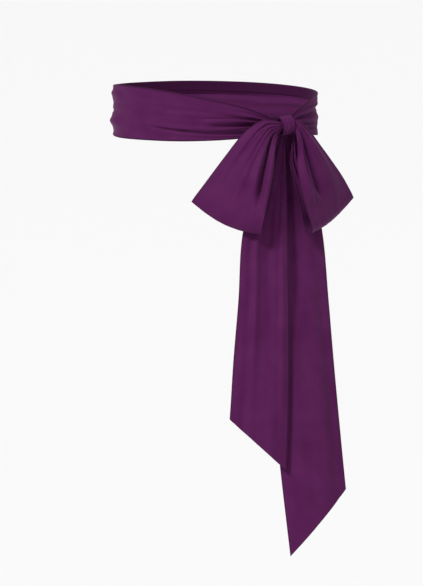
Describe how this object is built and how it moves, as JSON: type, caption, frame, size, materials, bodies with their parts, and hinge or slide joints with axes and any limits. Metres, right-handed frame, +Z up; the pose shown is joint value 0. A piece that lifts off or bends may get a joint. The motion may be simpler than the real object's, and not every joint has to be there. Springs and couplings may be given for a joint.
{
  "type": "tied waist sash",
  "caption": "Plum chiffon sash tied round a waist in a drooping bow at one side, with long ends cut on the slant.",
  "frame": {"origin": "middle of the waist loop, halfway up the band, on the wearer's own upright axis", "axes": "+Z up, +X to the wearer's left, -Y to the front"},
  "size_m": [0.3101, 0.2776, 0.5788],
  "materials": {
    "chiffon": "matte, very fine weave with a slight sheen"
  },
  "bodies": {
    "root": {"waist_band": "chiffon", "knot_wrap": "chiffon", "bow_loop_right_side": "chiffon", "bow_loop_left_side": "chiffon", "front_end": "chiffon", "back_end": "chiffon"}
  },
  "joints": []
}
